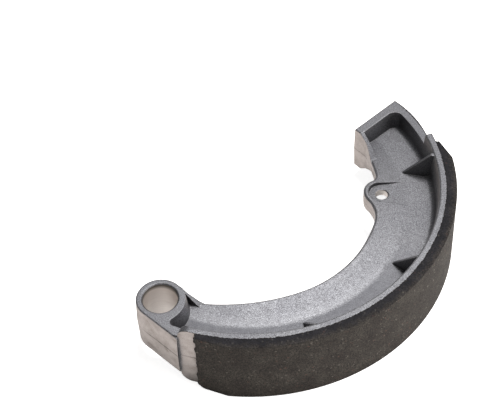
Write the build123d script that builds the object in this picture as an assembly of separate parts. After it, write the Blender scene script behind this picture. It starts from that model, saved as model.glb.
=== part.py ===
from build123d import *
from math import acos, atan2, cos, degrees, radians, sin, tan
import os

# Leading or trailing shoe of a drum brake: a die-cast aluminium shoe of T section with a bonded
# friction lining. Millimetres. The origin is the centre of the pivot bore, on the shoe's mid-plane.
# +Z runs along the bore and +Y points from the pivot to the drum's centre.
# A place on the shoe is given by its radius from the drum's centre and by its angle around that
# centre, counted from the pivot towards the cam, counter-clockwise as seen from +Z.

# Drum and lining
drum_radius = 90.0
lining_thickness = 4.5
shoe_width = 35.0
lining_start_angle = 17.6
lining_span = 120.1
pivot_end_thickness = 2.2
pivot_taper_angle = 8.4
cam_end_thickness = 1.4
cam_taper_angle = 7.0
lining_corner_radius = 3.2

# Rim and web
section_depth = 35.0
rim_thickness = 3.1
rim_draft = 5.0
rim_start_angle = 11.9
rim_end_angle = 141.4
rim_corner_radius = 5.0
rim_edge_break = 0.6
rim_foot_radius = 2.5
rim_land = 0.6
rim_overlap_angle = 0.3
web_thickness = 5.0

# Inner flange. A rise is a radial distance outwards from the inner edge's middle arc.
inner_arc_start = 54.0
inner_arc_end = 92.0
flange_thickness = 8.0
flange_width = 13.5
flange_blend_radius = 12.0
flange_edge_break = 0.9
pivot_shoulder_rise = 7.0
pivot_shoulder_angle = 4.0
pivot_shoulder_depth = 0.2
cam_shoulder_rise = 5.2
cam_shoulder_angle = 153.0

# Pivot eye
pivot_inset = 19.0
bore_radius = 7.5
bore_chamfer = 0.6
eye_wall = 2.8
eye_height = 24.0
eye_blend_radius = 8.0
eye_pad_radius = 12.9
eye_pad_foot_radius = 18.5
eye_pad_shift = 0.8
eye_pad_draft = 8.0
eye_pad_corner_radius = 0.3
eye_wall_step = 1.5
ledge_depth = 3.2
ledge_end_angle = 15.0
ledge_run_out_angle = 22.0

# Cam end
cam_outer_angle = 162.1
cam_back_bulge = 0.8
cam_inner_rise = 4.2
cam_inner_angle = 160.3
cam_wall = 5.0
pocket_corner_radius = 3.5
pocket_draft = 5.0
pocket_step = 0.2

# Lips that run down from the two ends into the flange
lip_rise = 7.3
lip_foot_radius = 10.0
pivot_lip_angle = 3.8
pivot_lip_run = 9.0
cam_lip_angle = 157.0
cam_lip_run = 11.5

# Spring ear
ear_hole_radius = 2.75
ear_hole_rise = 3.0
ear_chamfer = 0.3
ear_angle = 127.5
ear_radius = 7.8
ear_thickness = 3.8
ear_recess_radius = 5.8
ear_recess_flare = 2.9
ear_cam_blend = 4.0
ear_pivot_blend = 14.0

# Gussets, staggered between the two faces of the web. All of them point away from one axis, which
# lies on the far side of the drum's centre.
gusset_thickness = 1.4
gusset_height = 17.0
gusset_length = 12.3
gusset_axis_radius = 42.0
gusset_axis_angle = 241.5
upper_gusset_angles = (51.0, 92.8, 137.2)
lower_gusset_angles = (30.5, 73.0, 114.0)

# Marks of the mould's ejector pins, on the web's lower face
pin_mark_radius = 3.0
pin_mark_depth = 0.3
pin_mark_rise = 16.5
pin_mark_angles = (49.9, 94.4)

# Shared casting details
draft_angle = 2.0
edge_radius = 0.7

half_width = shoe_width / 2
half_web = web_thickness / 2
half_flange = flange_thickness / 2
half_eye = eye_height / 2
shoe_radius = drum_radius - lining_thickness
wall_radius = shoe_radius - rim_thickness
wall_foot_radius = wall_radius - (half_width - half_web) * tan(radians(rim_draft))
inner_radius = drum_radius - section_depth
pivot_radius = drum_radius - pivot_inset
cam_inner_radius = inner_radius + cam_inner_rise
lip_radius = inner_radius + lip_rise
ear_hole_distance = inner_radius + ear_hole_rise
eye_radius = bore_radius + eye_wall
ledge_radius = wall_radius - ledge_depth
drum_axis = Axis((0, pivot_radius, 0), (0, 0, 1))


def at(radius, angle, height=0.0):
    """The point at a radius and an angle around the drum's centre."""
    turn = radians(angle)
    return Vector(radius * sin(turn), pivot_radius - radius * cos(turn), height)


def radial_plane(angle):
    """A plane through the drum's axis: its x is the radius and its y is the height."""
    turn = radians(angle)
    return Plane(
        origin=(0, pivot_radius, 0),
        x_dir=(sin(turn), -cos(turn), 0),
        z_dir=(-cos(turn), -sin(turn), 0),
    )


def sweep_round(section, start_angle, end_angle):
    """Revolve a section, drawn as radius and height, around the drum's axis."""
    return revolve(radial_plane(start_angle) * section, drum_axis, end_angle - start_angle)


def arc_round(radius, start_angle, end_angle):
    """An arc around the drum's centre."""
    middle = (start_angle + end_angle) / 2
    return ThreePointArc(at(radius, start_angle), at(radius, middle), at(radius, end_angle))


def wall_corner(radius):
    """The outline's corner past the rim's pivot end, at a given radius."""
    return at(radius, rim_start_angle + degrees(2 * edge_radius / radius))


def eye_tangent_point():
    """Where the flat outer wall leaves the eye. It ends a step outside the turned face of the rim."""
    corner = wall_corner(shoe_radius + eye_wall_step)
    bearing = atan2(corner.Y, corner.X) - acos(eye_radius / corner.length)
    return Vector(eye_radius * cos(bearing), eye_radius * sin(bearing))


def vertices_on_circle(sketch, centre, radius):
    """The corners of a sketch that lie on a circle, in order of their angle around the drum."""
    found = [v for v in sketch.vertices() if abs((Vector(v) - centre).length - radius) < 0.001]
    return sorted(found, key=lambda v: atan2(v.X, pivot_radius - v.Y))


def parting_outline():
    """The whole casting, as its outline is drawn on the mould's parting plane."""
    middle_arc = arc_round(inner_radius, inner_arc_start, inner_arc_end)
    towards_shoulder = at(inner_radius + pivot_shoulder_rise, pivot_shoulder_angle).normalized()
    pivot_shoulder = towards_shoulder * (eye_radius - pivot_shoulder_depth)
    cam_shoulder = at(inner_radius + cam_shoulder_rise, cam_shoulder_angle)
    seat_radius = shoe_radius - rim_land
    cam_seat = at(seat_radius, rim_end_angle - rim_overlap_angle)
    rim_middle = at(seat_radius, (rim_start_angle + rim_end_angle) / 2)
    back_angle = (rim_end_angle + cam_outer_angle) / 2
    cam_back = at(shoe_radius + cam_back_bulge, back_angle)
    cam_outer = at(shoe_radius, cam_outer_angle)
    cam_inner = at(cam_inner_radius, cam_inner_angle)
    outline = make_face(
        [
            ThreePointArc(wall_corner(seat_radius), rim_middle, cam_seat),
            ThreePointArc(cam_seat, cam_back, cam_outer),
            Line(cam_outer, cam_inner),
            Line(cam_inner, cam_shoulder),
            TangentArc(middle_arc @ 1, cam_shoulder, tangent=middle_arc % 1),
            middle_arc,
            TangentArc(middle_arc @ 0, pivot_shoulder, tangent=(middle_arc % 0) * -1),
            Line(pivot_shoulder, (0, 0)),
            Line((0, 0), eye_tangent_point()),
            Line(eye_tangent_point(), wall_corner(shoe_radius + eye_wall_step)),
            Line(wall_corner(shoe_radius + eye_wall_step), wall_corner(seat_radius)),
        ]
    )
    outline = outline + Circle(eye_radius)
    outline = fillet(vertices_on_circle(outline, Vector(0, 0), eye_radius)[-1], eye_blend_radius)
    ear_centre = at(ear_hole_distance, ear_angle)
    outline = outline + Pos(ear_centre) * Circle(ear_radius)
    outline = fillet(vertices_on_circle(outline, ear_centre, ear_radius)[-1], ear_cam_blend)
    return fillet(vertices_on_circle(outline, ear_centre, ear_radius)[0], ear_pivot_blend)


def section_face(points, *rounded):
    """A closed section through points of radius and height. Each of rounded is the number of a
    corner and its fillet radius."""
    face = make_face(Polyline(*points, close=True))
    for number, radius in rounded:
        corner = Vector(*points[number])
        face = fillet(face.vertices().sort_by_distance(corner)[0], radius)
    return face


def body_section():
    """Half of the T section: the rim, the web and the flange that thickens to its inner edge."""
    inside = inner_radius - 2 * ear_radius
    slope = (half_flange - half_web) / flange_width
    points = [
        (shoe_radius, 0),
        (shoe_radius, half_width),
        (wall_radius + rim_edge_break, half_width),
        (wall_radius, half_width - rim_edge_break),
        (wall_foot_radius, half_web),
        (inner_radius + flange_width, half_web),
        (inside, half_flange + slope * (inner_radius - inside)),
        (inside, 0),
    ]
    return section_face(points, (4, rim_foot_radius), (5, flange_blend_radius))


def rim_zone():
    """Where the rim has its full width. Its corner is round at the pivot end."""
    zone = sector(wall_foot_radius, drum_radius, half_width, rim_start_angle, rim_end_angle)
    round_centre = at(shoe_radius, rim_start_angle, half_width - rim_corner_radius)
    radial = radial_plane(rim_start_angle).x_dir
    seen_from_outside = Plane(origin=round_centre, x_dir=Vector(0, 0, 1).cross(radial), z_dir=radial)
    corner = Pos(0, rim_corner_radius) * Rectangle(2 * rim_corner_radius, 2 * rim_corner_radius)
    corner = corner - Pos(rim_corner_radius, 0) * Circle(rim_corner_radius)
    return zone - extrude(seen_from_outside * corner, section_depth, both=True)


def sector(inside, outside, height, start_angle, end_angle):
    """A flat ring sector around the drum's axis, from the mid-plane up."""
    points = [(inside, 0), (outside, 0), (outside, height), (inside, height)]
    return sweep_round(section_face(points), start_angle, end_angle)


def lip_half(angle, run, turn):
    """A lip along the inner edge that runs down from an end's height into the flange. turn is +1
    where it runs towards the cam and -1 where it runs towards the pivot."""
    start = at(lip_radius, angle)
    direction = (at(lip_radius, angle + turn) - start).normalized()
    slope = Plane(origin=start, x_dir=direction, z_dir=direction.cross(Vector(0, 0, 1)))
    profile = section_face(
        [(0, half_eye), (run, half_web), (2 * run, 0), (2 * run, shoe_width), (0, shoe_width)],
        (1, lip_foot_radius),
    )
    above = extrude(slope * profile, eye_height, both=True)
    reach = degrees(1.5 * run / lip_radius)
    ends = sorted([angle - turn * reach, angle + turn * reach])
    return sector(inner_radius / 2, lip_radius, half_eye, *ends) - above


def eye_pad():
    """The pivot eye's conical side towards the web. It is tight around the bore on the inner
    edge's side, wider where it braces the outer wall, and runs out in a ledge along the rim."""
    reach = 2 * eye_pad_foot_radius
    brace = Circle(eye_pad_foot_radius) & Pos(0, -reach / 2) * Rectangle(reach, reach)
    plan = Circle(eye_pad_radius) + Pos(eye_pad_radius - eye_pad_foot_radius, 0) * brace
    outside = shoe_radius - rim_land
    run_out = at(outside, ledge_run_out_angle)
    ledge = make_face(
        [
            arc_round(ledge_radius, 0, ledge_end_angle),
            Line(at(ledge_radius, ledge_end_angle), run_out),
            arc_round(outside, ledge_run_out_angle, 0),
            Line(at(outside, 0), at(ledge_radius, 0)),
        ]
    )
    plan = Pos(0, -eye_pad_shift) * plan + ledge
    corner = vertices_on_circle(plan, Vector(0, pivot_radius), ledge_radius)[0]
    return extrude(fillet(corner, eye_pad_corner_radius), half_eye, taper=eye_pad_draft)


def pocket():
    """The drafted pocket between the cam wall, the rim and the lip, open towards the channel. It
    reaches a step behind the rim's wall."""
    outside = wall_foot_radius + pocket_step
    outer = at(shoe_radius, cam_outer_angle)
    inner = at(cam_inner_radius, cam_inner_angle)
    along = (outer - inner).normalized()
    inward = along.cross(Vector(0, 0, 1))
    first = rim_end_angle - rim_corner_radius
    last = cam_outer_angle + rim_corner_radius
    plan = make_face(
        [
            arc_round(outside, first, last),
            Line(at(outside, last), at(lip_radius, last)),
            arc_round(lip_radius, last, first),
            Line(at(lip_radius, first), at(outside, first)),
        ]
    )
    wall_centre = inner + inward * cam_wall
    wall = make_face(
        Polyline(
            wall_centre - along * shoe_radius,
            wall_centre + along * shoe_radius,
            wall_centre + along * shoe_radius - inward * shoe_width,
            wall_centre - along * shoe_radius - inward * shoe_width,
            close=True,
        )
    )
    plan = plan - wall
    corner = outer + inward * cam_wall
    plan = fillet(plan.vertices().sort_by_distance(corner)[0], pocket_corner_radius)
    return extrude(Pos(0, 0, half_web) * plan, half_eye, taper=-pocket_draft)


def gusset(angle):
    """A thin triangular rib between the rim and the web."""
    apex = at(wall_radius - gusset_length, angle)
    direction = (apex - at(gusset_axis_radius, gusset_axis_angle)).normalized()
    inside_rim = gusset_length + rim_thickness / 2
    points = [
        (0, half_web),
        (gusset_length, gusset_height),
        (inside_rim, gusset_height),
        (inside_rim, 0),
        (0, 0),
    ]
    upright = Plane(origin=apex, x_dir=direction, z_dir=direction.cross(Vector(0, 0, 1)))
    return extrude(upright * section_face(points), gusset_thickness / 2, both=True)


def ear_recess():
    """The recess around the spring hole, flared on the pivot's side. Its floor rises towards the
    web and runs out in it."""
    length = flange_width - ear_hole_rise + web_thickness
    start = at(ear_hole_distance, ear_angle, ear_thickness / 2)
    outwards = at(inner_radius + flange_width, ear_angle, half_web) - start
    sideways = Vector(0, 0, 1).cross(outwards)
    slot = make_face(
        Polyline(
            (0, ear_recess_radius),
            (length, ear_recess_radius),
            (length, -ear_recess_radius - ear_recess_flare),
            (0, -ear_recess_radius),
            close=True,
        )
    )
    floor = Plane(origin=start, x_dir=outwards, z_dir=outwards.cross(sideways))
    return extrude(floor * (slot + Circle(ear_recess_radius)), half_eye)


def drafted_outline():
    """The outline at the ends' height, widened by the draft down to the parting plane."""
    top = Pos(0, 0, half_eye) * parting_outline()
    solid = extrude(top, half_eye, dir=(0, 0, -1), taper=-draft_angle)
    return fillet(solid.faces().sort_by(Axis.Z)[-1].edges(), edge_radius)


def bevelled_flange(body):
    """The body with the flange's crest bevelled along the inner edge, between the two ends."""
    last = (rim_end_angle + cam_lip_angle) / 2
    outside = inner_radius + flange_width
    zone = sector(inner_radius / 2, outside, half_eye, rim_start_angle, last)
    flange = body & zone
    lean = sin(radians(draft_angle))
    walls = [face for face in flange.faces() if lean / 2 < face.normal_at().Z < 2 * lean]
    crest = [wall.edges().sort_by(Axis.Z)[-1] for wall in walls]
    return (body - zone) + chamfer(crest, flange_edge_break)


def half_casting(gusset_angles):
    """The casting above its parting plane."""
    past_cam = cam_outer_angle + rim_start_angle
    block = sector(lip_radius, drum_radius, half_eye, rim_end_angle - rim_overlap_angle, past_cam)
    pivot_lip = lip_half(pivot_lip_angle, pivot_lip_run, 1)
    cam_lip = lip_half(cam_lip_angle, cam_lip_run, -1)
    wall = sector(wall_radius, drum_radius, half_eye, -rim_start_angle, rim_start_angle)
    ends = eye_pad() + wall + pivot_lip + ((block + cam_lip) - pocket())
    outline = drafted_outline()
    body = sweep_round(body_section(), -rim_start_angle, past_cam) & (outline + rim_zone())
    half = (bevelled_flange(body) - ear_recess()) + (outline & ends)
    for angle in gusset_angles:
        half = half + gusset(angle)
    return half


def chamfered_hole(radius, length, bevel):
    """The tool for a through hole of a given length with a bevel at both of its mouths."""
    mouth = Cone(radius, radius + 2 * bevel, 2 * bevel)
    hole = Cylinder(radius, 2 * length) + Pos(0, 0, length / 2) * mouth
    return hole + Pos(0, 0, -length / 2) * Rot(180, 0, 0) * mouth


def cam_face_cut():
    """All that lies beyond the machined flat that the cam pushes on."""
    outer = at(shoe_radius, cam_outer_angle)
    inner = at(cam_inner_radius, cam_inner_angle)
    face = Plane(origin=(outer + inner) / 2, x_dir=outer - inner, z_dir=(0, 0, 1))
    return face * Pos(0, shoe_width / 2, 0) * Box(drum_radius, shoe_width, 2 * shoe_width)


def shoe_casting():
    """Both halves, then the machined cam face, the pivot bore, the pin marks and the spring hole."""
    casting = half_casting(upper_gusset_angles)
    casting = casting + mirror(half_casting(lower_gusset_angles), about=Plane.XY)
    casting = casting - cam_face_cut()
    casting = casting - chamfered_hole(bore_radius, eye_height, bore_chamfer)
    for angle in pin_mark_angles:
        mark_centre = at(inner_radius + pin_mark_rise, angle, -half_web)
        casting = casting - Pos(mark_centre) * Cylinder(pin_mark_radius, 2 * pin_mark_depth)
    ear_centre = at(ear_hole_distance, ear_angle)
    return casting - Pos(ear_centre) * chamfered_hole(ear_hole_radius, ear_thickness, ear_chamfer)


def friction_lining():
    """The bonded lining, ground thinner towards both of its ends. Its lower corner at the pivot's
    end is round."""
    first = lining_start_angle
    last = lining_start_angle + lining_span
    pivot_tip = at(shoe_radius + pivot_end_thickness, first)
    cam_tip = at(shoe_radius + cam_end_thickness, last)
    plan = make_face(
        [
            arc_round(shoe_radius, first, last),
            Line(at(shoe_radius, last), cam_tip),
            Line(cam_tip, at(drum_radius, last - cam_taper_angle)),
            arc_round(drum_radius, last - cam_taper_angle, first + pivot_taper_angle),
            Line(at(drum_radius, first + pivot_taper_angle), pivot_tip),
            Line(pivot_tip, at(shoe_radius, first)),
        ]
    )
    lining = extrude(plan, half_width, both=True)
    corner = at(shoe_radius + pivot_end_thickness / 2, first, -half_width)
    return fillet(lining.edges().sort_by_distance(corner)[0], lining_corner_radius)


os.makedirs("parts", exist_ok=True)
export_step(shoe_casting(), "parts/shoe_casting.step")
export_step(friction_lining(), "parts/friction_lining.step")
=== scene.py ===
# %% [markdown]
# # A drum brake shoe
#
# This notebook dresses a brake shoe: a die-cast aluminium shoe with a lining bonded around it.
# Its solids come ready made from the CAD side, in metres, so every size here is a real one.
# They stay as they are. What is left for Blender is what the eye judges a casting by, which is
# its finishes, the light that grazes them, and a camera at the right place.

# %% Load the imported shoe
from math import cos, pi, radians, sin

import bmesh
import bpy
from mathutils import Matrix, Vector, noise


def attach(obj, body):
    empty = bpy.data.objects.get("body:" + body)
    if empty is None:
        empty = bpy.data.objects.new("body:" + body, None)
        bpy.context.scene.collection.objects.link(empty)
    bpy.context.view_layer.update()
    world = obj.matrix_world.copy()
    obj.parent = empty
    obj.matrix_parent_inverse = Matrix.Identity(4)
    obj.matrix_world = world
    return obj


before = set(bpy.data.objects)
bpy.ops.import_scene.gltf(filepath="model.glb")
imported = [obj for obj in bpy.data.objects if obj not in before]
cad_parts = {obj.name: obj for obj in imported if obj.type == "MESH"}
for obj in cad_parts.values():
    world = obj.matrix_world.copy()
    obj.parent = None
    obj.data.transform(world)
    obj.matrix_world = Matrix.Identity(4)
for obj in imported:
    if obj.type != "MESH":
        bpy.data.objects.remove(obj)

scene = bpy.context.scene
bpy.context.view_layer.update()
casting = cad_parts["shoe_casting"]
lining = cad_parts["friction_lining"]


# %% [markdown]
# ## The shoe's own places
#
# The pattern on a machined face, or a line left by the mould, belongs to one place on the shoe.
# Such places are given here once, in metres, in the frame of the CAD: the origin is the centre
# of the pivot bore, Z runs along the bore, and Y points to the centre of the drum.

# %% Places on the shoe
MM = 0.001
DRUM_CENTRE = Vector((0, 71 * MM, 0))
DRUM_RADIUS = 90 * MM
SHOE_RADIUS = 85.5 * MM
RIM_HALF_WIDTH = 17.5 * MM
LINING_ENDS = (17.6, 137.7)
BORE_RADIUS = 7.5 * MM
BORE_HALF_LENGTH = 12 * MM
FLANGE_RADIUS = 68.5 * MM
SPRING_HOLE = Vector((46.0145 * MM, 106.3082 * MM, 0))
SPRING_HOLE_RADIUS = 2.75 * MM


def at(radius, angle):
    """A point at a radius in metres and an angle in degrees around the drum's centre, counted
    from the pivot towards the cam."""
    turn = radians(angle)
    return DRUM_CENTRE + Vector((radius * sin(turn), -radius * cos(turn), 0))


middle = at(DRUM_RADIUS, sum(LINING_ENDS) / 2)
print("middle of the friction face:", tuple(round(c, 4) for c in middle))

# %% [markdown]
# ## The camera
#
# A product picture of a flat part is taken with a long lens from halfway up, so that the web and
# the outside of the rim both show. The camera is aimed by its direction, then rolled a little
# about its own axis. A small shift keeps the optical axis away from the picture's middle.

# %% Camera
camera_place = Vector((263.8, -306.4, 532.3)) * MM
camera_aim = Vector((-14.78, 85.40, -17.5)) * MM
camera_data = bpy.data.cameras.new("camera")
camera_data.lens = 112.81
camera_data.sensor_width = 36
camera_data.shift_x = 0.0113
camera_data.shift_y = -0.0109
camera_data.clip_start = 0.05
camera = bpy.data.objects.new("camera", camera_data)
turned = (camera_aim - camera_place).to_track_quat("-Z", "Y").to_matrix().to_4x4()
roll = Matrix.Rotation(radians(-2.97), 4, "Z")
camera.matrix_world = Matrix.Translation(camera_place) @ turned @ roll
scene.collection.objects.link(camera)
scene.camera = camera
print("camera to shoe:", round(1000 * (camera_aim - camera_place).length), "mm")

# %% [markdown]
# ## Colours and nodes
#
# Colours are easiest to talk about as the hex values of a paint program, but a shader works with
# light, which is linear. One function turns the first into the second. A second one adds a node
# to a material with its settings and its links, so that each material below reads as a recipe.
# Inputs go by name, or by number where the name isn't the only one of its kind: a Mix node's two
# colours are 6 and 7, its two numbers 2 and 3.


# %% Helpers
def colour(hex_value):
    """The linear RGBA colour of an sRGB hex value."""
    channels = [int(hex_value[i : i + 2], 16) / 255 for i in (1, 3, 5)]
    linear = [c / 12.92 if c <= 0.04045 else ((c + 0.055) / 1.055) ** 2.4 for c in channels]
    return (*linear, 1)


def add(tree, kind, sockets=None, **settings):
    """Add one node to a node tree. settings are its own options. sockets gives its inputs, by name
    or number, a value, an output of another node, or a node whose first output in use it takes."""
    made = tree.nodes.new("ShaderNode" + kind)
    for name, value in settings.items():
        setattr(made, name, value)
    for name, value in (sockets or {}).items():
        if isinstance(value, bpy.types.Node):
            value = next(output for output in value.outputs if output.enabled)
        if isinstance(value, bpy.types.NodeSocket):
            tree.links.new(value, made.inputs[name])
        else:
            made.inputs[name].default_value = value
    return made


def new_material(name):
    """A material with nothing in it yet but the coordinates that its patterns hold to."""
    made = bpy.data.materials.new(name)
    made.use_nodes = True
    tree = made.node_tree
    tree.nodes.clear()
    place = add(tree, "TexCoord").outputs["Object"]
    return made, tree, place


def dress(piece, finish):
    """Put a finish on all the slots of a piece."""
    if not piece.material_slots:
        piece.data.materials.append(finish)
    for slot in piece.material_slots:
        slot.material = finish


print("mid grey:", [round(c, 3) for c in colour("#808080")])

# %% [markdown]
# ## Die-cast aluminium, shot-blasted
#
# The shoe is cast under pressure in a steel mould and then blasted with fine shot, which leaves
# a dull grey that sparkles a little. Up close it isn't even: the melt froze in patches a
# centimetre or two wide, stains a few millimetres wide lie over them, and each shot left a dimple
# of a few tenths of a millimetre, whose floor catches the light while its rim doesn't. The eye
# reads this as salt and pepper. Three noises make it, one for each. Dimples so small would vanish
# at this distance, so they are drawn about half a millimetre wide, and some of them lie together.

# %% Cast aluminium: patches, stains and dimples
cast, tree, place = new_material("Aluminium, die-cast and shot-blasted")
PATCH, STAIN, DIMPLE = 16 * MM, 2.0 * MM, 0.4 * MM
patches = add(tree, "TexNoise", {"Vector": place, "Scale": 1 / PATCH, "Detail": 3})
stains = add(
    tree, "TexNoise", {"Vector": place, "Scale": 1 / STAIN, "Detail": 4, "Roughness": 0.65}
)
dimples = add(
    tree, "TexNoise", {"Vector": place, "Scale": 1 / DIMPLE, "Detail": 1, "Roughness": 0.5}
)
patchy = add(tree, "MapRange", {"Value": patches, "From Min": 0.35, "From Max": 0.65})
stained = add(tree, "MapRange", {"Value": stains, "From Min": 0.42, "From Max": 0.7})
speckled = add(tree, "MapRange", {"Value": dimples, "From Min": 0.25, "From Max": 0.75})
grey = add(
    tree, "Mix", {"Factor": patchy, 6: colour("#98989c"), 7: colour("#a3a3a6")}, data_type="RGBA"
)
grey = add(tree, "Mix", {"Factor": stained, 6: grey, 7: colour("#9a999d")}, data_type="RGBA")
fleck = add(
    tree, "Mix", {"Factor": speckled, 6: colour("#767678"), 7: colour("#ffffff")}, data_type="RGBA"
)
grey = add(
    tree, "Mix", {"Factor": 0.85, 6: grey, 7: fleck}, data_type="RGBA", blend_type="MULTIPLY"
)
print("patch, stain and dimple:", PATCH, STAIN, DIMPLE)

# %% [markdown]
# The strip of web between the inner flange and the rim lies deep under the rim, and is painted
# a shade darker there: painted shade, for the web sloping down from the flange. It begins with a
# soft edge at the flange's radius, and the flange itself gets a painted highlight just inside
# that edge, where it stands highest. Both are painted on the pivot's half of the shoe only, and
# fade towards the cam.

# %% Cast aluminium: painted shade under the rim, painted highlight on the flange
CROWN, PAINTED_SHADE_AMOUNT, PAINTED_HIGHLIGHT_AMOUNT = 6 * MM, 0.6, 0.16
flat = add(tree, "VectorMath", {0: place, 1: (1, 1, 0)}, operation="MULTIPLY")
from_centre = add(tree, "VectorMath", {0: flat, 1: tuple(DRUM_CENTRE)}, operation="DISTANCE")
soft_edge = {"From Min": FLANGE_RADIUS - 0.6 * MM, "From Max": FLANGE_RADIUS + 1.2 * MM}
under_rim = add(tree, "MapRange", {"Value": from_centre, **soft_edge})
axes = add(tree, "SeparateXYZ", {"Vector": place})
pivot_half = add(
    tree, "MapRange", {"Value": axes.outputs["Y"], "From Min": 88 * MM, "From Max": 58 * MM}
)
level = add(tree, "Math", {0: axes.outputs["Z"]}, operation="ABSOLUTE")
low = add(tree, "MapRange", {"Value": level, "From Min": 6 * MM, "From Max": 4 * MM})
low = add(tree, "Math", {0: low, 1: pivot_half}, operation="MULTIPLY")
# Painted shade: the strip of web under the rim is darkened.
painted_rim_shade = add(tree, "Math", {0: under_rim, 1: low}, operation="MULTIPLY")
painted_rim_shade = add(tree, "Math", {0: painted_rim_shade, 1: PAINTED_SHADE_AMOUNT}, operation="MULTIPLY")
rising = {"From Min": FLANGE_RADIUS - CROWN, "From Max": FLANGE_RADIUS}
# Painted highlight: the flange just inside its edge is lightened.
painted_flange_highlight = add(tree, "MapRange", {"Value": from_centre, **rising})
painted_flange_highlight = add(tree, "Math", {0: painted_flange_highlight, 1: low}, operation="MULTIPLY")
painted_flange_highlight = add(tree, "Math", {0: painted_flange_highlight, 1: PAINTED_HIGHLIGHT_AMOUNT}, operation="MULTIPLY")
grey = add(tree, "Mix", {"Factor": painted_flange_highlight, 6: grey, 7: colour("#bebec0")}, data_type="RGBA")
grey = add(tree, "Mix", {"Factor": painted_rim_shade, 6: grey, 7: colour("#5f5f64")}, data_type="RGBA")
print("flange radius and width of its light band:", FLANGE_RADIUS, CROWN)

# %% [markdown]
# The outer walls are faces that slid out of the mould, with brownish smudges from handling. Their
# lighter and warmer tone than the blasted faces is painted light, bounced up from the paper. A
# face's own normal tells a wall, because it hardly leans up or down there. Inside the pockets,
# where that bounce doesn't reach, the walls stay grey, and Ambient Occlusion tells those, as
# other parts of the casting stand close around them.

# %% Cast aluminium: walls, painted bounce light and smudges
BLOTCH, OPEN_REACH = 5 * MM, 24 * MM
true_normal = add(tree, "NewGeometry").outputs["True Normal"]
lean = add(tree, "SeparateXYZ", {"Vector": true_normal}).outputs["Z"]
lean = add(tree, "Math", {0: lean}, operation="ABSOLUTE")
upright = add(tree, "MapRange", {"Value": lean, "From Min": 0.45, "From Max": 0.2})
around = add(tree, "AmbientOcclusion", {"Distance": OPEN_REACH}, samples=8, only_local=True)
open_side = add(
    tree, "MapRange", {"Value": around.outputs["AO"], "From Min": 0.72, "From Max": 0.9}
)
bounce_lit_wall = add(tree, "Math", {0: upright, 1: open_side}, operation="MULTIPLY")
blotches = add(
    tree, "TexNoise", {"Vector": place, "Scale": 1 / BLOTCH, "Detail": 3, "Roughness": 0.55}
)
blotchy = add(tree, "MapRange", {"Value": blotches, "From Min": 0.38, "From Max": 0.68})
# Painted light: the walls' lighter, warmer tone stands in for light bounced from the paper.
wall_bounce_and_dirt = add(
    tree, "Mix", {"Factor": blotchy, 6: colour("#b8b0ac"), 7: colour("#a29a95")}, data_type="RGBA"
)
wall_bounce_and_dirt = add(
    tree, "Mix", {"Factor": 0.25, 6: wall_bounce_and_dirt, 7: fleck}, data_type="RGBA", blend_type="MULTIPLY"
)
smudge = add(
    tree, "MapRange", {"Value": blotches, "From Min": 0.6, "From Max": 0.74, "To Max": 0.35}
)
wall_bounce_and_dirt = add(tree, "Mix", {"Factor": smudge, 6: wall_bounce_and_dirt, 7: colour("#6e5f58")}, data_type="RGBA")
print("blotch, and how far off a neighbour counts:", BLOTCH, OPEN_REACH)

# %% [markdown]
# Where the two mould halves met, a fine dark seam runs round the walls halfway up. It wanders a
# little to both sides, and the dirt in it is packed where the smudges are.

# %% Cast aluminium: parting seam
SEAM, WANDER, WANDER_LENGTH = 0.5 * MM, 0.5 * MM, 7 * MM
wander = add(tree, "TexNoise", {"Vector": place, "Scale": 1 / WANDER_LENGTH, "Detail": 2})
wander = add(tree, "MapRange", {"Value": wander, "To Min": -WANDER, "To Max": WANDER})
height = add(tree, "Math", {0: axes.outputs["Z"], 1: wander}, operation="ADD")
height = add(tree, "Math", {0: height}, operation="ABSOLUTE")
seam = add(tree, "MapRange", {"Value": height, "From Min": SEAM, "From Max": 0.1 * MM})
packed = add(
    tree,
    "MapRange",
    {"Value": blotches, "From Min": 0.42, "From Max": 0.62, "To Min": 0.25, "To Max": 0.8},
)
dirt = add(tree, "Math", {0: seam, 1: packed}, operation="MULTIPLY")
wall_bounce_and_dirt = add(tree, "Mix", {"Factor": dirt, 6: wall_bounce_and_dirt, 7: colour("#3c3632")}, data_type="RGBA")
# The open walls take the painted bounce light, with their real smudges and seam.
skin = add(tree, "Mix", {"Factor": bounce_lit_wall, 6: grey, 7: wall_bounce_and_dirt}, data_type="RGBA")
print("seam's half width, and its wander every so far:", SEAM, WANDER, WANDER_LENGTH)

# %% [markdown]
# The bore is reamed and the spring hole is drilled. A cutter leaves fresh metal, lighter and
# smoother than the cast skin, with fine rings around the hole, drawn as coarse as they need to be
# to show. They are a noise squeezed along the hole. Each end of the bore gets a dark rim of
# painted shade, for the shadow just inside its mouth. Where this lies is worked out from the
# position alone, as a mask from 0 to 1.

# %% Cast aluminium: bore and spring hole
MARGIN, CUTTER_MARK, SQUEEZE = 0.1 * MM, 2.4 * MM, (0.25, 0.25, 6)
from_bore = add(tree, "VectorMath", {0: flat}, operation="LENGTH")
bore = add(tree, "Math", {0: from_bore, 1: BORE_RADIUS + MARGIN}, operation="LESS_THAN")
to_hole = add(tree, "VectorMath", {0: flat, 1: tuple(SPRING_HOLE)}, operation="DISTANCE")
hole = add(tree, "Math", {0: to_hole, 1: SPRING_HOLE_RADIUS + MARGIN}, operation="LESS_THAN")
machined = add(tree, "Math", {0: bore, 1: hole}, operation="MAXIMUM")
rings = add(tree, "VectorMath", {0: place, 1: SQUEEZE}, operation="MULTIPLY")
cutter_marks = add(tree, "TexNoise", {"Vector": rings, "Scale": 1 / CUTTER_MARK, "Detail": 1})
fresh = add(
    tree,
    "Mix",
    {"Factor": cutter_marks, 6: colour("#dcd5d0"), 7: colour("#efe9e4")},
    data_type="RGBA",
)
last_stretch = {"From Min": BORE_HALF_LENGTH - 3.2 * MM, "From Max": BORE_HALF_LENGTH - 1.2 * MM}
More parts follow.
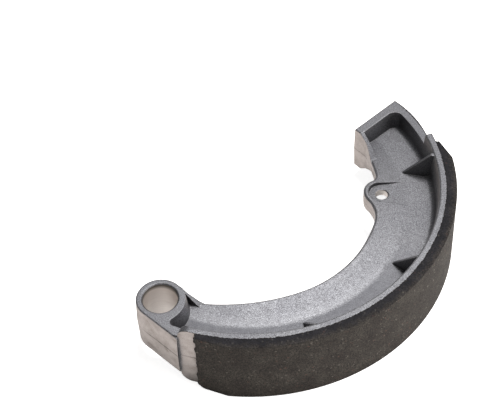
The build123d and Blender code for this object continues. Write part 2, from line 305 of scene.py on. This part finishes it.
# Painted shade: a dark band inside each end of the bore.
painted_bore_shade = add(tree, "MapRange", {"Value": height, **last_stretch, "To Max": 0.85})
fresh = add(tree, "Mix", {"Factor": painted_bore_shade, 6: fresh, 7: colour("#4b443f")}, data_type="RGBA")
print("machined within a radius of:", BORE_RADIUS, SPRING_HOLE_RADIUS)

# %% [markdown]
# Corners are painted darker, as painted shade. Edges are painted lighter, partly as wear from
# rubbing and partly as a painted highlight. Two nodes find such places on any shape: Ambient
# Occlusion, which is low in a corner, and Bevel, whose normal turns away from the true one next to
# an edge. The same rounded normal also gives each sharp edge of the mesh the small radius that a
# casting really has, and with it a thin line of light.

# %% Cast aluminium: painted corner shade, edge wear and painted edge highlight
CORNER_REACH, EDGE_RADIUS, EDGE_WEAR_AND_HIGHLIGHT = 12 * MM, 0.5 * MM, 0.22
near = add(tree, "AmbientOcclusion", {"Distance": CORNER_REACH}, samples=8).outputs["AO"]
# Painted shade: darker wherever Ambient Occlusion finds a corner, less on faces that look up.
painted_corner_shade = add(
    tree,
    "MapRange",
    {"Value": near, "From Min": 0.3, "From Max": 0.85, "To Min": 0.6, "To Max": 0},
)
shelter = add(
    tree, "MapRange", {"Value": lean, "From Min": 0.5, "From Max": 0.8, "To Min": 1, "To Max": 0.6}
)
painted_corner_shade = add(tree, "Math", {0: painted_corner_shade, 1: shelter}, operation="MULTIPLY")
skin = add(tree, "Mix", {"Factor": painted_corner_shade, 6: skin, 7: colour("#33312f")}, data_type="RGBA")
skin = add(tree, "Mix", {"Factor": machined, 6: skin, 7: fresh}, data_type="RGBA")
rounded = add(tree, "Bevel", {"Radius": EDGE_RADIUS}, samples=6)
agreement = add(tree, "VectorMath", {0: true_normal, 1: rounded}, operation="DOT_PRODUCT")
edge = add(tree, "MapRange", {"Value": agreement, "From Min": 0.99, "From Max": 0.9})
# Edges are lightened, partly for wear from rubbing and partly as a painted highlight.
worn_and_highlit_edge = add(tree, "Math", {0: edge, 1: EDGE_WEAR_AND_HIGHLIGHT}, operation="MULTIPLY")
skin = add(tree, "Mix", {"Factor": worn_and_highlit_edge, 6: skin, 7: colour("#c8c7c5")}, data_type="RGBA")
print("corner reach and edge radius:", CORNER_REACH, EDGE_RADIUS)

# %% [markdown]
# Along the bond the adhesive has crept a fraction of a millimetre onto the cast edge, in a black
# line with teeth. It is where the distance from the drum's centre comes near the bonded radius.

# %% Cast aluminium: bond line
TOOTH, TOOTH_REACH = 0.9 * MM, 0.4 * MM
teeth = add(tree, "TexNoise", {"Vector": place, "Scale": 1 / TOOTH, "Detail": 2})
teeth = add(
    tree, "MapRange", {"Value": teeth, "From Min": 0.35, "From Max": 0.7, "To Max": TOOTH_REACH}
)
to_bond = add(tree, "Math", {0: from_centre, 1: teeth}, operation="ADD")
close_by = {"From Min": SHOE_RADIUS - 0.15 * MM, "From Max": SHOE_RADIUS}
smear = add(tree, "MapRange", {"Value": to_bond, **close_by})
along_rim = add(tree, "Math", {0: from_centre, 1: SHOE_RADIUS + MARGIN}, operation="LESS_THAN")
top_face = add(tree, "Math", {0: lean, 1: 0.5}, operation="GREATER_THAN")
smear = add(tree, "Math", {0: smear, 1: along_rim}, operation="MULTIPLY")
smear = add(tree, "Math", {0: smear, 1: top_face}, operation="MULTIPLY")
skin = add(tree, "Mix", {"Factor": smear, 6: skin, 7: colour("#2a2725")}, data_type="RGBA")
print("teeth reach past the bond by:", TOOTH_REACH)

# %% [markdown]
# Stains and dimples also give the surface its relief, each a tenth of a millimetre high or less,
# and the seam is a shallow groove. Bump turns heights into slopes that catch the light. Blasted
# metal is rough, and the machined bore a little less so. Metal keeps the default IOR.

# %% Cast aluminium: relief, gloss and shader
MACHINED_ROUGHNESS = 0.48
parting = add(tree, "MapRange", {"Value": seam, "To Max": -0.12 * MM})
swell = add(tree, "MapRange", {"Value": stains, "To Max": 0.10 * MM})
pitting = add(tree, "MapRange", {"Value": dimples, "To Max": 0.07 * MM})
relief = add(tree, "Math", {0: swell, 1: pitting}, operation="ADD")
relief = add(tree, "Math", {0: relief, 1: parting}, operation="ADD")
bump = add(tree, "Bump", {"Height": relief, "Normal": rounded, "Strength": 0.8, "Distance": 1})
gloss = add(
    tree,
    "MapRange",
    {"Value": stains, "From Min": 0.3, "From Max": 0.7, "To Min": 0.5, "To Max": 0.6},
)
gloss = add(tree, "Mix", {"Factor": machined, 2: gloss, 3: MACHINED_ROUGHNESS}, data_type="FLOAT")
metal = add(
    tree,
    "BsdfPrincipled",
    {"Base Color": skin, "Roughness": gloss, "Normal": bump, "Metallic": 1.0},
)
add(tree, "OutputMaterial", {"Surface": metal})
dress(casting, cast)
print("casting finished:", cast.name, len(tree.nodes), "nodes")

# %% [markdown]
# ## Moulded friction lining, ground
#
# The lining is resin and mineral fibre pressed hot, with chips of metal in it, bonded to the
# shoe and then ground to the drum's radius. The sides were only sawn, so they stay nearly black,
# darkest along the bond. Towards the corner they turn into the colour of the ground face, in a
# ragged line, because the corner has crumbled. A mask tells the two apart: it is 1 on a sawn side
# and 0 on the ground face. The finest grain is drawn as coarse as it needs to be to show.

# %% Friction lining: grain and sawn sides
pad, tree, place = new_material("Friction material, moulded and ground")
CRUMB, GRAIN = 2.2 * MM, 0.6 * MM
grain = add(tree, "TexNoise", {"Vector": place, "Scale": 1 / GRAIN, "Detail": 2, "Roughness": 0.7})
axes = add(tree, "SeparateXYZ", {"Vector": place})
height = add(tree, "Math", {0: axes.outputs["Z"]}, operation="ABSOLUTE")
ragged = add(tree, "MapRange", {"Value": grain, "To Min": -0.6 * MM, "To Max": 0.6 * MM})
depth = add(tree, "Math", {0: height, 1: ragged}, operation="ADD")
outermost = {"From Min": RIM_HALF_WIDTH - 0.9 * MM, "From Max": RIM_HALF_WIDTH}
side = add(tree, "MapRange", {"Value": depth, **outermost})
from_centre = add(tree, "VectorMath", {0: place, 1: tuple(DRUM_CENTRE)}, operation="SUBTRACT")
spoke = add(tree, "VectorMath", {0: from_centre, 1: (1, 1, 0)}, operation="MULTIPLY")
radius = add(tree, "VectorMath", {0: spoke}, operation="LENGTH")
crumbs = add(
    tree, "TexNoise", {"Vector": place, "Scale": 1 / CRUMB, "Detail": 3, "Roughness": 0.65}
)
broken = add(
    tree,
    "MapRange",
    {"Value": crumbs, "From Min": 0.3, "From Max": 0.7, "To Min": -1.5 * MM, "To Max": 1.5 * MM},
)
reach = add(tree, "Math", {0: radius, 1: broken}, operation="ADD")
near_corner = {"From Min": DRUM_RADIUS - 2.6 * MM, "From Max": DRUM_RADIUS + 0.3 * MM}
crumbled = add(tree, "MapRange", {"Value": reach, **near_corner, "To Max": 0.75})
whole = add(tree, "Math", {0: 1, 1: crumbled}, operation="SUBTRACT")
side = add(tree, "Math", {0: side, 1: whole}, operation="MULTIPLY")
print("crumb and grain:", CRUMB, GRAIN)

# %% [markdown]
# The ground face is a dry brown charcoal with hardly any gloss. Grinding opens it: fibre ends make
# it grainy, and here and there a pale or reddish chip shows. The chips are cells of a Voronoi
# pattern, of which only the few with the highest random value are coloured, and fewer still on
# the sides.

# %% Friction lining: colours and chips
CLUMP, CHIP = 8 * MM, 0.75 * MM
clumps = add(tree, "TexNoise", {"Vector": place, "Scale": 1 / CLUMP, "Detail": 4, "Roughness": 0.6})
clumpy = add(tree, "MapRange", {"Value": clumps, "From Min": 0.35, "From Max": 0.65})
ground = add(
    tree, "Mix", {"Factor": clumpy, 6: colour("#423b36"), 7: colour("#565049")}, data_type="RGBA"
)
sawn = add(
    tree, "Mix", {"Factor": clumpy, 6: colour("#222126"), 7: colour("#333135")}, data_type="RGBA"
)
body = add(tree, "Mix", {"Factor": side, 6: ground, 7: sawn}, data_type="RGBA")
grainy = add(tree, "MapRange", {"Value": grain, "From Min": 0.32, "From Max": 0.66})
shade = add(
    tree, "Mix", {"Factor": grainy, 6: colour("#4c4c4c"), 7: colour("#ffffff")}, data_type="RGBA"
)
body = add(tree, "Mix", {"Factor": 1, 6: body, 7: shade}, data_type="RGBA", blend_type="MULTIPLY")
open_face = add(tree, "MapRange", {"Value": side, "To Min": 0.5, "To Max": 0.12})
chips = add(tree, "TexVoronoi", {"Vector": place, "Scale": 1 / CHIP})
lot = add(tree, "SeparateColor", {"Color": chips.outputs["Color"]})
for channel, rarest, tone in (("Red", 0.97, "#847e75"), ("Green", 0.985, "#6b4e45")):
    few = {"Value": lot.outputs[channel], "From Min": rarest, "From Max": 1}
    chip = add(tree, "MapRange", {**few, "To Max": open_face})
    body = add(tree, "Mix", {"Factor": chip, 6: body, 7: colour(tone)}, data_type="RGBA")
    print("chips of", tone, "are drawn above a lot of", rarest)
print("clump and chip:", CLUMP, CHIP)

# %% [markdown]
# The grinding wheel runs along the lining, so its scratches do too. A noise squeezed across the
# lining and stretched along it gives them: along is the angle around the drum, turned into
# a length, and across is Z. The open surface reflects less than solid resin, so its IOR is lower.

# %% Friction lining: scratches, relief and shader
STRETCH, SCRATCH, CORNER_RADIUS = 12, 0.7 * MM, 0.4 * MM
polar = add(tree, "SeparateXYZ", {"Vector": from_centre})
turn = add(tree, "Math", {0: polar.outputs["X"], 1: polar.outputs["Y"]}, operation="ARCTAN2")
along = add(tree, "Math", {0: turn, 1: DRUM_RADIUS / STRETCH}, operation="MULTIPLY")
lay = add(tree, "CombineXYZ", {"X": along, "Y": polar.outputs["Z"]})
scratches = add(tree, "TexNoise", {"Vector": lay, "Scale": 1 / SCRATCH, "Detail": 2})
scratch_depth = add(tree, "MapRange", {"Value": scratches, "To Max": 0.10 * MM})
grain_depth = add(tree, "MapRange", {"Value": grain, "To Max": 0.16 * MM})
relief = add(tree, "Math", {0: scratch_depth, 1: grain_depth}, operation="ADD")
rounded = add(tree, "Bevel", {"Radius": CORNER_RADIUS}, samples=6)
bump = add(tree, "Bump", {"Height": relief, "Normal": rounded, "Strength": 0.9, "Distance": 1})
dryness = add(tree, "MapRange", {"Value": grain, "To Min": 0.72, "To Max": 0.95})
friction = add(
    tree,
    "BsdfPrincipled",
    {"Base Color": body, "Roughness": dryness, "Normal": bump, "IOR": 1.36},
)
add(tree, "OutputMaterial", {"Surface": friction})
dress(lining, pad)
print("lining finished:", pad.name, len(tree.nodes), "nodes")

# %% [markdown]
# ## Adhesive squeezed out at the lining's ends
#
# The lining is glued on under pressure and heat, and a little of the adhesive comes out at its
# two ends, where it cures to a ragged black bead in the corner between lining and shoe. A bead is
# a quarter round of radius 1, with its inner corner sunk a tenth into both, extruded across the
# shoe row by row. Then smooth noise stretches each row by its own amount, so the bead spreads and
# climbs unevenly, and a matrix sets it down in its corner.

# %% Adhesive bead
BEAD_HALF_LENGTH, BEAD_SWELL, BEAD_TOOTH = RIM_HALF_WIDTH - 0.3 * MM, 2.2 * MM, 0.7 * MM


def bead(name, end_angle, outwards, spread, climb):
    """A bead in the corner at one end of the lining. outwards is -1 towards the pivot and 1
    towards the cam. spread is how far it reaches along the shoe and climb how far up the end."""
    rows = 90
    mesh = bmesh.new()
    quarter = [mesh.verts.new((-0.1, -0.1, -BEAD_HALF_LENGTH))]
    for turn in (0, pi / 8, pi / 4, 3 * pi / 8, pi / 2):
        quarter.append(mesh.verts.new((sin(turn), cos(turn), -BEAD_HALF_LENGTH)))
    front = mesh.faces.new(quarter)
    for row in range(rows):
        grown = bmesh.ops.extrude_face_region(mesh, geom=[front], use_keep_orig=row == 0)["geom"]
        front = next(piece for piece in grown if isinstance(piece, bmesh.types.BMFace))
        bmesh.ops.translate(mesh, verts=front.verts, vec=(0, 0, 2 * BEAD_HALF_LENGTH / rows))
    for vert in mesh.verts:
        swell = noise.noise(Vector((vert.co.z / BEAD_SWELL, end_angle, 0)))
        teeth = abs(noise.noise(Vector((vert.co.z / BEAD_TOOTH, 0, end_angle))))
        vert.co.x *= spread * (0.6 + 0.5 * swell + 0.9 * teeth)
        vert.co.y *= climb * (0.8 + 0.5 * swell)
    corner = at(SHOE_RADIUS, end_angle)
    up = (corner - DRUM_CENTRE).normalized()
    along = outwards * Vector((-up.y, up.x, 0))
    place = Matrix((along, up, Vector((0, 0, 1)))).transposed().to_4x4()
    bmesh.ops.transform(mesh, matrix=Matrix.Translation(corner) @ place, verts=mesh.verts)
    bmesh.ops.recalc_face_normals(mesh, faces=mesh.faces)
    data = bpy.data.meshes.new(name)
    mesh.to_mesh(data)
    mesh.free()
    data.shade_smooth()
    made = bpy.data.objects.new(name, data)
    scene.collection.objects.link(made)
    return made


print("bead's half length, swell and tooth:", BEAD_HALF_LENGTH, BEAD_SWELL, BEAD_TOOTH)

# %% [markdown]
# Cured adhesive is a lumpy brown-black with a slight sheen. The same finish dresses both beads,
# of which the one at the pivot is the larger.

# %% Adhesive finish and both beads
LUMP = 0.8 * MM
resin, tree, place = new_material("Adhesive, squeezed out and cured")
lumps = add(tree, "TexNoise", {"Vector": place, "Scale": 1 / LUMP, "Detail": 3})
dark = add(
    tree, "Mix", {"Factor": lumps, 6: colour("#1c1a19"), 7: colour("#39332e")}, data_type="RGBA"
)
lump_height = add(tree, "MapRange", {"Value": lumps, "To Max": 0.2 * MM})
bump = add(tree, "Bump", {"Height": lump_height, "Strength": 0.8, "Distance": 1})
gum = add(tree, "BsdfPrincipled", {"Base Color": dark, "Normal": bump, "Roughness": 0.55})
add(tree, "OutputMaterial", {"Surface": gum})
for name, end_angle, outwards, spread, climb in (
    ("adhesive_bead_pivot", LINING_ENDS[0], -1, 1.1 * MM, 1.4 * MM),
    ("adhesive_bead_cam", LINING_ENDS[1], 1, 0.8 * MM, 0.9 * MM),
):
    squeezed = bead(name, end_angle, outwards, spread, climb)
    dress(squeezed, resin)
    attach(squeezed, "root")
    print(name, len(squeezed.data.polygons), "faces")

# %% [markdown]
# ## Table and light
#
# The table is a flat sheet of white paper. The camera has to see it as white while the shoe still
# stands in its own faint shadow, so the paper glows for camera rays, and a little for the rays
# that metal and gloss send out. It lies a hair under the shoe, so that no two faces share a plane.

# %% Table
TABLE_GAP, SEEN_GLOW, MIRRORED_GLOW = 0.02 * MM, 0.85, 0.4
bpy.ops.mesh.primitive_plane_add(size=6, location=(0, 0, -RIM_HALF_WIDTH - TABLE_GAP))
table = bpy.context.object
table.name = "table"
paper, tree, _ = new_material("White paper")
rays = add(tree, "LightPath")
for_camera = add(
    tree, "Math", {0: rays.outputs["Is Camera Ray"], 1: SEEN_GLOW}, operation="MULTIPLY"
)
for_gloss = add(
    tree, "Math", {0: rays.outputs["Is Glossy Ray"], 1: MIRRORED_GLOW}, operation="MULTIPLY"
)
glow = add(tree, "Math", {0: for_camera, 1: for_gloss}, operation="ADD")
sheet = add(
    tree,
    "BsdfPrincipled",
    {
        "Base Color": colour("#f6f2ef"),
        "Roughness": 0.9,
        "Emission Color": (1, 1, 1, 1),
        "Emission Strength": glow,
    },
)
add(tree, "OutputMaterial", {"Surface": sheet})
dress(table, paper)
print("table at", round(1000 * table.location.z, 1), "mm")

# %% [markdown]
# The main light is a soft box half a metre wide, above and behind the shoe. Bare metal shows what
# it reflects, and from the camera's side that is the soft box in every face that looks up, the
# paper in the walls that face it, and the dim room in all that stands up from the web. A weak
# panel on the right lights the lining's far half. Only the camera sees the room as white.


# %% Soft box, side panel and room
def panel(name, width, depth, watts, place, aim):
    """A rectangular area lamp at a place, turned to a point."""
    data = bpy.data.lights.new(name, "AREA")
    data.shape = "RECTANGLE"
    data.size, data.size_y, data.energy = width, depth, watts
    lamp = bpy.data.objects.new(name, data)
    lamp.location = place
    lamp.rotation_euler = (Vector(aim) - Vector(place)).to_track_quat("-Z", "Y").to_euler()
    scene.collection.objects.link(lamp)
    return lamp


soft_box = panel(
    "soft box", width=0.5, depth=0.36, watts=14.6, place=(0.12, 0.34, 1.15), aim=(0.03, 0.06, 0)
)
side_panel = panel(
    "side panel", width=0.7, depth=0.5, watts=6, place=(0.95, 0.25, 0.35), aim=(0.05, 0.07, 0)
)
room = bpy.data.worlds.new("room")
room.use_nodes = True
tree = room.node_tree
tree.nodes.clear()
dim_room = add(tree, "Background", {"Color": colour("#ffffff"), "Strength": 0.16})
white_room = add(tree, "Background", {"Color": colour("#ffffff"), "Strength": 1.0})
camera_ray = add(tree, "LightPath").outputs["Is Camera Ray"]
seen_room = add(tree, "MixShader", {0: camera_ray, 1: dim_room, 2: white_room})
add(tree, "OutputWorld", {"Surface": seen_room})
scene.world = room
scene.view_settings.view_transform = "Standard"
print("lamps:", [(lamp.name, lamp.data.energy) for lamp in (soft_box, side_panel)])
